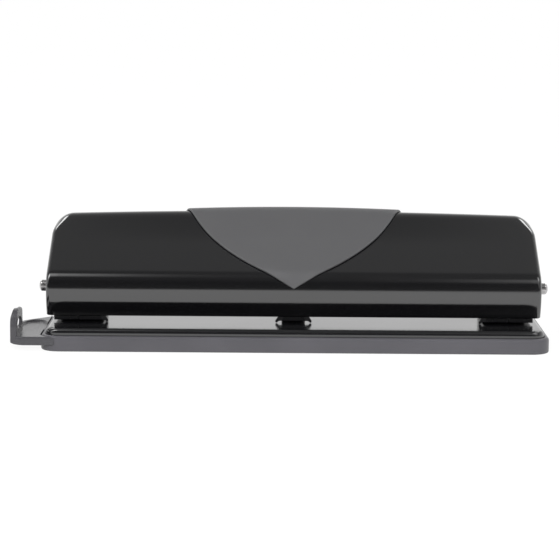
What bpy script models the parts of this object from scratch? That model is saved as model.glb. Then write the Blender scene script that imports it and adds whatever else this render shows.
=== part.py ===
"""Three-hole paper punch with a full-width pressed-steel lever.

Metres, +X along the lever to the right, +Y from the paper side to the back, +Z up.
The origin is on the table, under the axis of the middle punch.
"""

import math

import bmesh
import bpy
import numpy as np
from mathutils import Matrix, Vector

# Paper and hole pattern
hole_pitch = 0.108
hole_diameter = 0.006
edge_to_hole = 0.012
slot_height = 0.0025
running_gap = 0.0003
overrun = 0.003

# Base plate, a shallow pressed-steel pan
base_side_margin = 0.00405
base_front = 0.0520
base_rear = 0.0440
base_top = 0.0114
base_sheet = 0.0015
base_skirt = 0.0058
base_edge_radius = 0.0024
corner_radius = 0.0100

# Chad tray under the base plate
tray_wall = 0.0024
tray_floor = 0.0016
tray_height = 0.0077
tray_edge_radius = 0.0010
tray_rib = 0.0014
tray_rib_height = 0.0024

# Paper guide that slides out of the tray's left end
guide_reach = 0.0148
guide_plate_top = 0.0080
guide_plate = 0.0048
guide_corner_radius = 0.0085
guide_back = 0.0190
guide_shoulder = 0.0230
shoulder_reach_shares = (0.12, 0.42)
shoulder_back_shares = (0.62, 0.26)
guide_wall = 0.0042
guide_wall_depth = 0.0245
guide_wall_height = 0.0132
guide_crown_radius = 0.0088
guide_window_width = 0.0130
guide_window_height = 0.0066
guide_window_sill = 0.0010
guide_edge_radius = 0.0006
dish_length = 0.0380
dish_width = 0.0260
dish_depth = 0.0008
tongue_width = 0.0320
tongue_length = 0.1200
tongue_thickness = 0.0032
tongue_inset = 0.0080

# Punch frames, folded from one strip each
frame_width = 0.0125
frame_front = 0.0265
frame_back = 0.0190
frame_sheet = 0.0012
frame_bend_radius = 0.0022
frame_shoulder_drop = 0.0035
ear_radius = 0.0053
lip_radius = 0.0022
lip_reach = 0.0012
foot_length = 0.0120
side_window_front = 0.0195
side_window_back = 0.0090
side_window_sill = 0.0008
side_window_top = 0.0030
wing_reach = 0.0018
wing_sheet = 0.0008
wing_depth = 0.0050
wing_height = 0.0058
bracket_width = 0.0125

# Pivot axle
axle_ahead = 0.0170
axle_rise = 0.0181
axle_diameter = 0.0060
axle_tip = 0.0048
spacer_wall = 0.0020

# Punch pins, clips, dies and springs
pin_lift = 0.0003
pin_head_diameter = 0.0104
pin_head = 0.0015
pin_head_edge = 0.0004
pin_hollow = 0.0009
clip_width = 0.0014
clip_thickness = 0.0010
clip_groove = 0.0007
die_flange = 0.0020
die_flange_thickness = 0.0012
die_wall = 0.0028
die_shank = 0.0012
spring_wire = 0.0009
spring_turns = 5
spring_settle_share = 1.6
spring_end_turn_share = 0.5
spring_lead_share = 0.7

# Rivets that hold the frames to the base
rivet_diameter = 0.0026
rivet_head_share = 0.37
rivet_head = 0.0011
rivet_spacing_share = 0.54

# Lever cover, a drawn steel shell open at the bottom, with its heights taken from the axle
cover_side_margin = 0.00395
cover_sheet = 0.0012
cover_front = 0.0335
cover_rear = 0.0323
lip_drop = 0.0143
roll_radius = 0.0240
roll_drop = 0.0010
roll_end_degrees = 176
crease_radius = 0.0115
roof_slope = 0.545
rear_radius = 0.0115
skirt_rise = 0.0045
front_end_radius = 0.0040
rear_end_radius = 0.0105
end_growth = 0.0180
roof_arch = 0.0026
arch_start = -0.0050

# Grip panel on the lever
grip_thickness = 0.0010
grip_crown = 0.0007
grip_lift_share = 1.4
grip_edge_reach = 0.1079
grip_edge_inset = 0.0576
grip_tip_rise = 0.0012
grip_wrap = 0.0030
grip_tip_row_shares = (0.02, 0.055, 0.1, 0.15)

# Pressure bar under the lever's roof
bar_sheet = 0.0012
bar_width = 0.0180
bar_nose_radius = 0.0020
bar_end_margin = 0.0080
bar_nose_rise = 0.0112

# Facets
arc_steps = 8
round_steps = 24
small_round_steps = 12

# Derived places
pin_radius = hole_diameter / 2
axle_radius = axle_diameter / 2
axle_height = base_top + axle_rise
rivet_head_diameter = min(frame_width, bracket_width) * rivet_head_share
bracket_offset = hole_pitch + frame_width / 2 + running_gap + bracket_width / 2
bracket_outside = bracket_offset + bracket_width / 2
half_base = bracket_outside + base_side_margin
half_cover = bracket_outside + cover_side_margin
tray_margin = running_gap + tray_wall
half_tray = half_base + tray_margin
tray_front = base_front + tray_margin
tray_rear = base_rear + tray_margin
slot_roof = base_top + slot_height
guide_roof = slot_roof + frame_sheet
frame_top = axle_height - frame_shoulder_drop
head_places = (-hole_pitch, 0.0, hole_pitch)
head_names = ("left", "centre", "right")
axle_y = -axle_ahead
bearing_radius = axle_radius + running_gap
lip_height = axle_height - lip_drop
roll_level_height = axle_height - roll_drop
skirt_bottom = axle_height + skirt_rise
grip_tip_height = axle_height + grip_tip_rise
grip_edge_radius = math.hypot(grip_edge_reach, grip_edge_inset)
roof_angle = math.degrees(math.atan(roof_slope))
roof_stretch = math.hypot(1.0, roof_slope)
guide_left = -(half_tray + guide_reach)


def clear_scene():
    """Remove every object that the file opened with."""
    for obj in list(bpy.data.objects):
        bpy.data.objects.remove(obj, do_unlink=True)


def collection(name):
    """A new collection linked to the scene."""
    made = bpy.data.collections.new(name)
    bpy.context.scene.collection.children.link(made)
    return made


def finish(name, colour, roughness, metallic=0.0, coat=0.0):
    """A Principled material with one colour."""
    made = bpy.data.materials.new(name)
    made.use_nodes = True
    shader = made.node_tree.nodes["Principled BSDF"]
    shader.inputs["Base Color"].default_value = (*colour, 1.0)
    shader.inputs["Roughness"].default_value = roughness
    shader.inputs["Metallic"].default_value = metallic
    shader.inputs["Coat Weight"].default_value = coat
    made.diffuse_color = (*colour, 1.0)
    return made


def mesh_object(name, bm, place=(0.0, 0.0, 0.0)):
    """Turn a bmesh into an object of the punch's collection."""
    mesh = bpy.data.meshes.new(name)
    bm.to_mesh(mesh)
    bm.free()
    obj = bpy.data.objects.new(name, mesh)
    obj.location = place
    PARTS.objects.link(obj)
    return obj


def dress(obj, material, smooth_angle=None):
    """Give an object its material and, for round pieces, smooth shading."""
    obj.data.materials.clear()
    obj.data.materials.append(material)
    if smooth_angle is not None:
        obj.data.shade_smooth()
        obj.data.set_sharp_from_angle(angle=smooth_angle)
    return obj


def as_tool(obj):
    """Move an object to the cutters and hide it."""
    for owner in list(obj.users_collection):
        owner.objects.unlink(obj)
    CUTTERS.objects.link(obj)
    obj.hide_render = True
    obj.display_type = "WIRE"
    return obj


def combine(obj, tool, operation):
    """Add one Boolean of the given operation to an object."""
    step = obj.modifiers.new(operation.title(), "BOOLEAN")
    step.operation = operation
    step.solver = "EXACT"
    step.object = as_tool(tool)
    tool.parent = obj
    return obj


def cut(obj, tool):
    return combine(obj, tool, "DIFFERENCE")


def join(obj, tool):
    return combine(obj, tool, "UNION")


def box(name, low, high):
    """A box between two corners, from a unit cube."""
    bm = bmesh.new()
    bmesh.ops.create_cube(bm, size=1.0)
    low, high = Vector(low), Vector(high)
    size = high - low
    for vert in bm.verts:
        vert.co = Vector(co * length for co, length in zip(vert.co, size)) + (low + high) / 2
    return mesh_object(name, bm)


def rod(name, start, end, radius, steps=round_steps):
    """A cylinder between two points."""
    start, end = Vector(start), Vector(end)
    bm = bmesh.new()
    bmesh.ops.create_cone(bm, cap_ends=True, segments=steps, radius1=radius,
                          radius2=radius, depth=(end - start).length)
    turn = (end - start).to_track_quat("Z", "Y").to_matrix().to_4x4()
    bm.transform(Matrix.Translation((start + end) / 2) @ turn)
    return mesh_object(name, bm)


def arc(centre, radius, start_degrees, end_degrees, steps=arc_steps):
    """Points on an arc, both ends included."""
    angles = np.radians(np.linspace(start_degrees, end_degrees, steps + 1))
    return [(centre[0] + radius * math.cos(a), centre[1] + radius * math.sin(a)) for a in angles]


def rounded_rectangle(left, right, near, far, radius, steps=arc_steps):
    """Outline of a rectangle with four round corners, anticlockwise."""
    return (arc((right - radius, far - radius), radius, 0, 90, steps)
            + arc((left + radius, far - radius), radius, 90, 180, steps)
            + arc((left + radius, near + radius), radius, 180, 270, steps)
            + arc((right - radius, near + radius), radius, 270, 360, steps))


PLANES = {
    "XY": Matrix.Identity(4),
    "YZ": Matrix(((0, 0, 1, 0), (1, 0, 0, 0), (0, 1, 0, 0), (0, 0, 0, 1))),
    "XZ": Matrix(((1, 0, 0, 0), (0, 0, -1, 0), (0, 1, 0, 0), (0, 0, 0, 1))),
}


def slab(name, outlines, low, high, plane="XY", edge_radius=0.0, edges="top", edge_steps=2):
    """A flat outline, with any holes as further outlines, extruded from low to high.

    The outline lies in the named plane, and low and high count along its normal.
    """
    curve = bpy.data.curves.new(name, "CURVE")
    curve.dimensions = "2D"
    curve.fill_mode = "BOTH"
    curve.extrude = (high - low) / 2
    for outline in outlines:
        spline = curve.splines.new("POLY")
        spline.points.add(len(outline) - 1)
        for point, place in zip(spline.points, outline):
            point.co = (*place, 0.0, 1.0)
        spline.use_cyclic_u = True
    drawn = bpy.data.objects.new(name, curve)
    CUTTERS.objects.link(drawn)
    bpy.context.view_layer.update()
    graph = bpy.context.evaluated_depsgraph_get()
    mesh = bpy.data.meshes.new_from_object(drawn.evaluated_get(graph))
    bpy.data.objects.remove(drawn, do_unlink=True)
    bm = bmesh.new()
    bm.from_mesh(mesh)
    bpy.data.meshes.remove(mesh)
    bmesh.ops.remove_doubles(bm, verts=bm.verts, dist=running_gap / 10)
    bmesh.ops.translate(bm, verts=bm.verts, vec=(0.0, 0.0, (low + high) / 2))
    bmesh.ops.recalc_face_normals(bm, faces=bm.faces)
    if edge_radius:
        bmesh.ops.dissolve_limit(bm, angle_limit=math.radians(1), verts=bm.verts, edges=bm.edges)
        levels = {"top": (high,), "both": (low, high)}[edges]
        middle = (high - low) / 4
        chosen = [edge for edge in bm.edges
                  if any(all(abs(vert.co.z - level) < middle for vert in edge.verts)
                         for level in levels)]
        bmesh.ops.bevel(bm, geom=chosen, offset=edge_radius, segments=edge_steps,
                        affect="EDGES", profile=0.5)
    bm.transform(PLANES[plane])
    return mesh_object(name, bm)


def turned(name, profile, place, steps=round_steps, closed=False):
    """A profile of (radius, height) points, top to bottom down its outer side, swept round Z."""
    bm = bmesh.new()
    verts = [bm.verts.new((radius, 0.0, height)) for radius, height in profile]
    pairs = list(zip(verts, verts[1:]))
    if closed:
        pairs.append((verts[-1], verts[0]))
    for pair in pairs:
        bm.edges.new(pair)
    obj = mesh_object(name, bm, place)
    sweep = obj.modifiers.new("Screw", "SCREW")
    sweep.steps = steps
    sweep.render_steps = steps
    sweep.use_merge_vertices = True
    sweep.merge_threshold = running_gap / 10
    return obj


def base_plate():
    """The pan: a rounded slab hollowed from below, with a hole for each die and rivet."""
    radius = corner_radius - tray_margin
    outer = rounded_rectangle(-half_base, half_base, -base_front, base_rear, radius)
    obj = slab("base_plate", [outer], base_top - base_skirt, base_top,
               edge_radius=base_edge_radius, edge_steps=3)
    inner = rounded_rectangle(-half_base + base_sheet, half_base - base_sheet,
                              -base_front + base_sheet, base_rear - base_sheet,
                              radius - base_sheet)
    cut(obj, slab("base_hollow", [inner], base_top - base_skirt - overrun, base_top - base_sheet))
    for name, x in zip(head_names, head_places):
        cut(obj, rod(f"die_hole_{name}", (x, 0.0, base_top - base_skirt),
                     (x, 0.0, base_top + overrun), pin_radius + die_wall + 2 * running_gap))
    for name, (x, y) in rivet_places():
        cut(obj, rod(f"{name}_hole", (x, y, base_top - base_skirt),
                     (x, y, base_top + overrun), rivet_diameter / 2 + running_gap,
                     small_round_steps))
    return dress(obj, BLACK_STEEL)


def rivet_places():
    """Name and place of each rivet: two in every foot, side by side behind its frame."""
    y = frame_back + foot_length / 2
    feet = [(f"{name}_frame", x, frame_width) for name, x in zip(head_names, head_places)]
    feet += [("left_bracket", -bracket_offset, bracket_width),
             ("right_bracket", bracket_offset, bracket_width)]
    return [(f"{foot}_rivet_{index + 1}", (x + (index - 0.5) * width * rivet_spacing_share, y))
            for foot, x, width in feet for index in (0, 1)]


def stirrup_side():
    """Side view of a folded frame in (y, z): foot, back, ears for the axle, front and entry lip."""
    floor = base_top + running_gap
    back = frame_back + foot_length
    lip_top = slot_roof + lip_radius
    ears = arc((axle_y, axle_height), ear_radius, 0, 180)
    lip = arc((-frame_front + lip_radius - lip_reach, lip_top), lip_radius, 180, 270, 4)
    return ([(edge_to_hole, floor), (back, floor), (back, floor + frame_sheet),
             (frame_back, floor + frame_sheet), (frame_back, frame_top),
             (axle_y + ear_radius, frame_top)] + ears
            + [(axle_y - ear_radius, frame_top), (-frame_front, frame_top),
               (-frame_front, lip_top + lip_reach)] + lip + [(edge_to_hole, slot_roof)])


def entry_wing(name, side):
    """A thin tab folded out of a frame's side, with a pointed edge that leads paper in."""
    half = frame_width / 2
    root = half - wing_sheet
    tip = half + wing_reach
    waist = half + wing_sheet
    low = slot_roof
    points = [(root, low), (tip, low + wing_height / 4), (waist, low + wing_height / 2),
              (tip, low + wing_height)]
    inner = [(x - wing_sheet, z + wing_sheet) for x, z in points[1:]]
    outline = points + [(tip, low + wing_height + wing_sheet)] + list(reversed(inner)) + [
        (root, low + wing_sheet)]
    if side < 0:
        outline = [(-x, z) for x, z in reversed(outline)]
    return slab(name, [outline], frame_front - wing_depth, frame_front - frame_sheet / 2,
                plane="XZ")


def stirrup(name, x, width, wing_sides=()):
    """A folded frame: a channel open to the back, over a slot for paper, with a riveted foot."""
    half = width / 2
    inside = half - frame_sheet
    floor = base_top + running_gap
    ear_top = axle_height + ear_radius
    obj = slab(name, [stirrup_side()], -half, half, plane="YZ")
    outline = rounded_rectangle(-half, half, -frame_front - lip_reach, frame_back + foot_length,
                                frame_bend_radius, 4)
    combine(obj, slab(f"{name}_outline", [outline], floor - overrun, ear_top + overrun),
            "INTERSECT")
    hollow = rounded_rectangle(-inside, inside, -frame_front + frame_sheet,
                               frame_back + overrun, frame_bend_radius - frame_sheet, 4)
    cut(obj, slab(f"{name}_hollow", [hollow], guide_roof, frame_top - frame_sheet))
    cut(obj, box(f"{name}_back", (-inside, edge_to_hole + frame_sheet, floor + frame_sheet),
                 (inside, frame_back + overrun, guide_roof + frame_sheet)))
    cut(obj, box(f"{name}_between_ears", (-inside, axle_y - ear_radius - overrun, frame_top),
                 (inside, axle_y + ear_radius + overrun, ear_top + overrun)))
    cut(obj, rod(f"{name}_bearing", (-half - overrun, axle_y, axle_height),
                 (half + overrun, axle_y, axle_height), bearing_radius))
    window = rounded_rectangle(-side_window_front, side_window_back, guide_roof + side_window_sill,
                               frame_top - side_window_top, frame_bend_radius, 3)
    cut(obj, slab(f"{name}_side_window", [window], -half - overrun, half + overrun, plane="YZ"))
    for side in (-1, 1):
        place = (side * half * rivet_spacing_share, frame_back + foot_length / 2)
        cut(obj, rod(f"{name}_rivet_{side}", (*place, floor - overrun),
                     (*place, floor + overrun + frame_sheet),
                     rivet_diameter / 2 + running_gap, small_round_steps))
    for side in wing_sides:
        join(obj, entry_wing(f"{name}_wing_{side}", side))
    obj.location.x = x
    return obj


def punch_frame(name, x):
    """A stirrup with guide holes for the punch pin, and wings where no bracket stands beside it."""
    wing_sides = {"left": (1,), "centre": (-1, 1), "right": (-1,)}[name]
    obj = stirrup(f"{name}_punch_frame", x, frame_width, wing_sides)
    cut(obj, rod(f"{name}_pin_bore", (0.0, 0.0, slot_roof - overrun),
                 (0.0, 0.0, frame_top + overrun), pin_radius + running_gap))
    return dress(obj, FRAME_STEEL)


def pivot_bracket(name, side):
    """The outer stirrup that carries the axle near the lever's side wall."""
    return dress(stirrup(f"{name}_pivot_bracket", side * bracket_offset, bracket_width),
                 FRAME_STEEL)


def die(name, x):
    """A flanged bush in the base plate, flush with its top."""
    bore = pin_radius + running_gap
    shank = pin_radius + die_wall + running_gap
    flange_top = base_top - base_sheet - running_gap
    flange_bottom = flange_top - die_flange_thickness
    bottom = flange_bottom - die_shank
    profile = [(bore, base_top), (shank, base_top), (shank, flange_top),
               (shank + die_flange, flange_top), (shank + die_flange, flange_bottom),
               (shank, flange_bottom), (shank, bottom), (bore, bottom)]
    return dress(turned(f"{name}_die", profile, (x, 0.0, 0.0), closed=True), BRIGHT_STEEL,
                 math.radians(30))


nose_bottom = axle_height + bar_nose_rise
pin_top = nose_bottom - running_gap
pin_bottom = slot_roof + pin_lift
clip_top = frame_top - frame_sheet - running_gap


def punch_pin(name, x):
    """A punch with a button head, a clip groove and a hollow-ground tip."""
    edge = pin_head_edge
    head = pin_head_diameter / 2
    groove_bottom = clip_top - clip_thickness - running_gap
    groove_top = clip_top + running_gap
    groove = pin_radius - clip_groove
    profile = [(0.0, pin_top), (head - edge, pin_top), (head, pin_top - edge),
               (head, pin_top - pin_head), (pin_radius, pin_top - pin_head),
               (pin_radius, groove_top), (groove, groove_top), (groove, groove_bottom),
               (pin_radius, groove_bottom), (pin_radius, pin_bottom),
               (0.0, pin_bottom + pin_hollow)]
    return dress(turned(f"{name}_punch_pin", profile, (x, 0.0, 0.0)), BRIGHT_STEEL,
                 math.radians(30))


def retaining_clip(name, x):
    """An open spring clip in the pin's groove, under the frame's top."""
    inner = pin_radius - clip_groove + running_gap
    outer = inner + clip_width
    ring = arc((0.0, 0.0), outer, 35, 325, 16) + arc((0.0, 0.0), inner, 325, 35, 16)
    obj = slab(f"{name}_retaining_clip", [ring], clip_top - clip_thickness, clip_top)
    obj.location.x = x
    return dress(obj, BRIGHT_STEEL)


def spring(name, x):
    """A compression spring from the frame's top to the pin's head."""
    bottom = frame_top + running_gap + spring_wire / 2
    top = pin_top - pin_head - running_gap - spring_wire / 2
    radius = pin_radius + 2 * running_gap + spring_wire / 2
    per_turn = 10
    count = spring_turns * per_turn
    turn = np.linspace(0.0, spring_turns, count + 1)
    rise = np.clip((turn - spring_end_turn_share)
                   / (spring_turns - 2 * spring_end_turn_share), 0.0, 1.0)
    settle = spring_wire * spring_settle_share
    rise = bottom + (top - bottom - settle) * rise + settle * turn / spring_turns
    angle = 2 * math.pi * turn
    points = np.column_stack((radius * np.cos(angle), radius * np.sin(angle), rise))
    lead = np.array((spring_lead_share, spring_lead_share, 0.0))
    first = points[0] + (points[0] - points[1]) * lead
    last = points[-1] + (points[-1] - points[-2]) * lead
    points = np.vstack((first, points, last))
    report_self_gap(name, points, per_turn)
    curve = bpy.data.curves.new(f"{name}_spring", "CURVE")
    curve.dimensions = "3D"
    curve.bevel_depth = spring_wire / 2
    curve.bevel_resolution = 1
    curve.use_fill_caps = True
    spline = curve.splines.new("POLY")
    spline.points.add(len(points) - 1)
    for point, place in zip(spline.points, points):
        point.co = (*place, 1.0)
    obj = bpy.data.objects.new(f"{name}_spring", curve)
    obj.location.x = x
    PARTS.objects.link(obj)
    curve.materials.append(BRIGHT_STEEL)
    return obj


def report_self_gap(name, points, per_turn):
    """Print the least gap between turns, measured on the wire's centre line."""
    apart = np.linalg.norm(points[:, None] - points[None], axis=2)
    index = np.arange(len(points))
    far = np.abs(index[:, None] - index[None]) > per_turn // 2
    print(f"{name} spring, least gap to itself {(apart[far].min() - spring_wire) * 1000:.2f} mm")


def axle():
    """One rod through both brackets and all frames, with domed tips outside the cover."""
    reach = half_cover + axle_tip
    dome = [(axle_radius * math.sin(a), reach - axle_radius / 2 * (1 - math.cos(a)))
            for a in np.radians((0, 25, 50, 75, 90))]
    profile = dome + [(radius, -height) for radius, height in reversed(dome)]
    obj = turned("pivot_axle", profile, (0.0, axle_y, axle_height))
    obj.rotation_euler.y = math.pi / 2
    return dress(obj, BRIGHT_STEEL, math.radians(35))


def axle_spacer(name, side):
    """A nylon ring between the bracket and the cover's side wall."""
    inner = bracket_outside + running_gap
    outer = half_cover - cover_sheet - running_gap
    bore = bearing_radius
    profile = [(bore, outer), (bore + spacer_wall, outer), (bore + spacer_wall, inner),
               (bore, inner)]
    obj = turned(f"{name}_axle_spacer", profile, (0.0, axle_y, axle_height), closed=True)
    obj.rotation_euler.y = side * math.pi / 2
    return dress(obj, NYLON, math.radians(30))


def rivet(name, place):
    """A rivet through a foot and the base plate, with a domed head above and a flat one below."""
    floor = base_top + running_gap + frame_sheet + running_gap
    under = base_top - base_sheet - running_gap
    head = rivet_head_diameter / 2
    shank = rivet_diameter / 2
    dome = [(head * math.sin(a), floor + rivet_head * math.cos(a))
            for a in np.radians((0, 35, 65, 90))]
    profile = dome + [(shank, floor), (shank, under), (head, under),
                      (head, under - rivet_head), (0.0, under - rivet_head)]
    return dress(turned(name, profile, (*place, 0.0), steps=small_round_steps), BRIGHT_STEEL,
                 math.radians(30))


def crease_centre():
    """Middle of the arc that turns the bulging front into the roof."""
    turn = math.radians(roll_end_degrees)
    reach = roll_radius - crease_radius
    return (-cover_front + roll_radius + reach * math.cos(turn),
            roll_level_height + reach * math.sin(turn))


def roof_height(y):
    """Height of the plain roof's outer face at a place behind the crease."""
    centre = crease_centre()
    lift = math.radians(90 + roof_angle)
    foot = (centre[0] + crease_radius * math.cos(lift), centre[1] + crease_radius * math.sin(lift))
    return foot[1] + roof_slope * (y - foot[0])


def cover_profile():
    """Outer side profile of the lever in (y, z), from the front lip to the rear skirt.

    A large arc bulges the front, a smaller one turns it into the crease, the roof rises in a
    straight line, and a last arc turns down into the rear skirt.
    """
    lift = math.radians(90 + roof_angle)
    level = (-cover_front + roll_radius, roll_level_height)
    low = math.degrees(math.asin((roll_level_height - lip_height) / roll_radius))
    front = arc(level, roll_radius, 180 + low, roll_end_degrees, 7)
    crease = arc(crease_centre(), crease_radius, roll_end_degrees, 90 + roof_angle, 7)[1:]
    foot = crease[-1]
    corner_y = cover_rear - rear_radius
    rear_y = corner_y + rear_radius * math.cos(lift)
    roof_z = roof_height(rear_y)
    span = 8
    roof = [(foot[0] + (rear_y - foot[0]) * k / span, foot[1] + (roof_z - foot[1]) * k / span)
            for k in range(1, span + 1)]
    corner = (corner_y, roof_z - rear_radius * math.sin(lift))
    rear = arc(corner, rear_radius, 90 + roof_angle, 0, 7)[1:]
    skirt = [(rear[-1][0], skirt_bottom)]
    return np.array(front + crease + roof + rear + skirt)


def profile_normals(profile):
    """Outward unit normals of the profile, taken from the chord through each neighbour pair."""
    ahead = np.vstack((profile[1:], profile[-1:]))
    behind = np.vstack((profile[:1], profile[:-1]))
    along = ahead - behind
    along /= np.linalg.norm(along, axis=1)[:, None]
    return np.column_stack((-along[:, 1], along[:, 0]))


def smooth_share(value, start, end):
    share = np.clip((value - start) / (end - start), 0.0, 1.0)
    return share * share * (3 - 2 * share)


def arch(x, y):
    """How far the roof rises above the plain profile at a place."""
    return (roof_arch * np.maximum(0.0, 1 - (x / half_cover) ** 2)
            * smooth_share(y, arch_start, cover_rear))


def lever_cover():
    """The shell: the side profile carried across, pulled in round each end to a flat side wall."""
    profile = cover_profile()
    normals = profile_normals(profile)
    ends = front_end_radius + (rear_end_radius - front_end_radius) * smooth_share(
        profile[:, 0], cover_rear - rear_radius - end_growth, cover_rear - rear_radius)
    chord = ((profile[-1, 1] - profile[0, 1]) / (profile[-1, 0] - profile[0, 0]))
    stations = []
    for angle in np.radians(np.linspace(90, 0, 7)):
        stations.append((-1, angle, None))
    for share in np.linspace(-1, 1, 11)[1:-1]:
        stations.append((0, 0.0, share))
    for angle in np.radians(np.linspace(0, 90, 7)):
        stations.append((1, angle, None))
    bm = bmesh.new()
    columns = []
    for side, angle, share in stations:
        inset = ends * (1 - math.cos(angle))
        y = profile[:, 0] - normals[:, 0] * inset
        z = profile[:, 1] - normals[:, 1] * inset
        for last in (0, -1):
            z[last] = profile[last, 1] + chord * (y[last] - profile[last, 0])
        if share is None:
            x = side * (half_cover - ends + ends * math.sin(angle))
        else:
            x = share * (half_cover - ends)
        z = z + arch(x, y)
        columns.append([bm.verts.new(place) for place in zip(x, y, z)])
    for left, right in zip(columns, columns[1:]):
        for k in range(len(profile) - 1):
            bm.faces.new((left[k], right[k], right[k + 1], left[k + 1]))
    bm.faces.new(list(columns[0]))
    bm.faces.new(list(reversed(columns[-1])))
    bmesh.ops.recalc_face_normals(bm, faces=bm.faces)
    obj = mesh_object("lever_cover", bm)
    wall = obj.modifiers.new("Wall", "SOLIDIFY")
    wall.thickness = cover_sheet
    wall.offset = -1.0
    wall.use_even_offset = True
    cut(obj, rod("cover_bearing", (-half_cover - overrun, axle_y, axle_height),
                 (half_cover + overrun, axle_y, axle_height), bearing_radius))
    return dress(obj, BLACK_STEEL, math.radians(35))


def grip_half_width(distance):
    """Half the panel's width at a distance along the lever from its tip: an arc on each side."""
    return np.sqrt(grip_edge_radius ** 2 - (grip_edge_reach - distance) ** 2) - grip_edge_inset


def grip_panel():
    """A shield-shaped skin that follows the lever from the front roll to over the rear edge."""
    profile = cover_profile()
    normals = profile_normals(profile)
    steps = np.linalg.norm(np.diff(profile, axis=0), axis=1)
    travel = np.concatenate(([0.0], np.cumsum(steps)))
    front = profile[:, 1] < roof_height(-cover_front + crease_radius)
    tip = np.interp(grip_tip_height, profile[front, 1], travel[front])
    corner_end = travel[-2] + grip_wrap
    rows = np.unique(np.concatenate(([tip], travel[(travel > tip) & (travel < corner_end)],
                                     [corner_end])))
    ahead = tip + np.array(grip_tip_row_shares) * (travel[-1] - tip)
    rows = np.unique(np.concatenate((rows, ahead)))
    keep = [0]
    for k in range(1, len(rows)):
        if rows[k] - rows[keep[-1]] > running_gap * 3:
            keep.append(k)
    rows = rows[keep]
    across = np.linspace(-1, 1, 9)
    bm = bmesh.new()
    grid = []
    for distance in rows:
        y = np.interp(distance, travel, profile[:, 0])
        z = np.interp(distance, travel, profile[:, 1])
        normal = np.array([np.interp(distance, travel, normals[:, k]) for k in (0, 1)])
        normal /= np.linalg.norm(normal)
        half = float(grip_half_width(distance - tip))
        if half < running_gap:
            row = [(0.0, y, z)]
            crown = np.array([1.0])
        else:
            row = [(half * share, y, z) for share in across]
            crown = 1 - across ** 2
        made = []
        for (x, row_y, row_z), share in zip(row, crown):
            off = running_gap * grip_lift_share + grip_crown * share * min(1.0, (distance - tip) / grip_wrap)
            place_y = row_y + normal[0] * off
            made.append(bm.verts.new((x, place_y, row_z + normal[1] * off + arch(x, place_y))))
        grid.append(made)
    for near, far in zip(grid, grid[1:]):
        if len(near) == 1:
            for k in range(len(far) - 1):
                bm.faces.new((near[0], far[k + 1], far[k]))
        else:
            for k in range(len(far) - 1):
                bm.faces.new((near[k], near[k + 1], far[k + 1], far[k]))
    obj = mesh_object("grip_panel", bm)
    wall = obj.modifiers.new("Wall", "SOLIDIFY")
    wall.thickness = grip_thickness
    wall.offset = 1.0
    wall.use_even_offset = True
    return dress(obj, DARK_RUBBER, math.radians(35))


def roof_under(y):
    """Height of the roof's underside on the plain profile."""
    return roof_height(y) - (cover_sheet + running_gap) * roof_stretch


def pressure_bar():
    """A strip under the roof, folded into a deep rib whose round nose bears on all three pins."""
    near, far = -bar_width / 2, bar_width / 2
    depth = bar_sheet * roof_stretch
    outer, inner = bar_nose_radius, bar_nose_radius - bar_sheet
    centre = (0.0, nose_bottom + outer)
    outline = ([(near, roof_under(near) - depth), (-outer, roof_under(-outer) - depth)]
               + arc(centre, outer, 180, 360, 8)
               + [(outer, roof_under(outer) - depth), (far, roof_under(far) - depth),
                  (far, roof_under(far)), (inner, roof_under(inner))]
               + arc(centre, inner, 360, 180, 6)
               + [(-inner, roof_under(-inner)), (near, roof_under(near))])
    reach = half_cover - cover_sheet - bar_end_margin
    return dress(slab("pressure_bar", [outline], -reach, reach, plane="YZ"), BRIGHT_STEEL)


def tray_outline(grow=0.0):
    return rounded_rectangle(-half_tray - grow, half_tray + grow, -tray_front - grow,
                             tray_rear + grow, corner_radius + grow)


def chad_tray():
    """A plastic pan round the base plate's skirt, with a slot and two rails for the guide."""
    obj = slab("chad_tray", [tray_outline()], 0.0, tray_height, edge_radius=tray_edge_radius,
               edges="both")
    cut(obj, slab("tray_hollow", [tray_outline(-tray_wall)], tray_floor, tray_height + overrun))
    near = tongue_near - running_gap
    far = tongue_near + tongue_width + running_gap
    cut(obj, box("tray_slot", (-half_tray - overrun, near, tray_floor),
                 (-half_tray + tray_wall + overrun, far,
                  tray_floor + tongue_thickness + 2 * running_gap)))
    start = -half_tray + tray_wall / 2
    for index, (low, high) in enumerate(((near - tray_rib, near), (far, far + tray_rib))):
        join(obj, box(f"tray_rail_{index}", (start, low, tray_floor / 2),
                      (start + tongue_length, high, tray_floor + tray_rib_height)))
    return dress(obj, DARK_PLASTIC)


tongue_near = -tray_front + tray_wall + tray_rib + tongue_inset


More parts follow.
